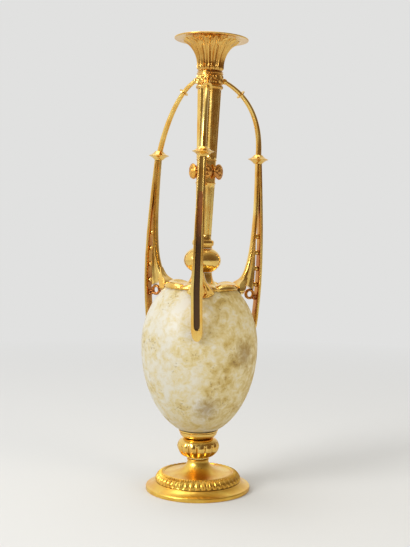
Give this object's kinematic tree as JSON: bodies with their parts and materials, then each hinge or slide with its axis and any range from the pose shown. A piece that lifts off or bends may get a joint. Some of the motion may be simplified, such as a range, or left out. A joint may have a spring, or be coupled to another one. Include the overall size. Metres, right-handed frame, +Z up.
{
  "type": "bud vase",
  "caption": "Slim ornamental bud vase: a mottled stone egg in gilt bronze mounts, with a stepped foot, a fluted neck, a flared leafy lip and slender handles.",
  "frame": {"origin": "centre of the foot's flat underside", "axes": "+Z up, out of the mouth; -Y towards the front handle, which faces the camera in the picture; +X to the picture's right. The mounts above the egg lean 1.7 degrees to +X."},
  "size_m": [0.0785, 0.0792, 0.2809],
  "materials": {
    "gilt_bronze": "polished gilt",
    "mottled_stone": "satin polish",
    "red_gilt_bronze": "satin, reddish gilt"
  },
  "bodies": {
    "root": {"foot": "gilt_bronze", "knop": "gilt_bronze", "egg_cup": "gilt_bronze", "crown_plate": "gilt_bronze", "ball": "gilt_bronze", "neck": "gilt_bronze", "collar": "gilt_bronze", "lip": "gilt_bronze", "handle_front": "gilt_bronze", "handle_right": "gilt_bronze", "handle_left": "gilt_bronze", "egg": "mottled_stone", "rosette_1": "red_gilt_bronze", "rosette_2": "red_gilt_bronze", "rosette_3": "red_gilt_bronze", "rosette_4": "red_gilt_bronze", "rosette_5": "red_gilt_bronze", "rosette_6": "red_gilt_bronze"}
  },
  "joints": []
}
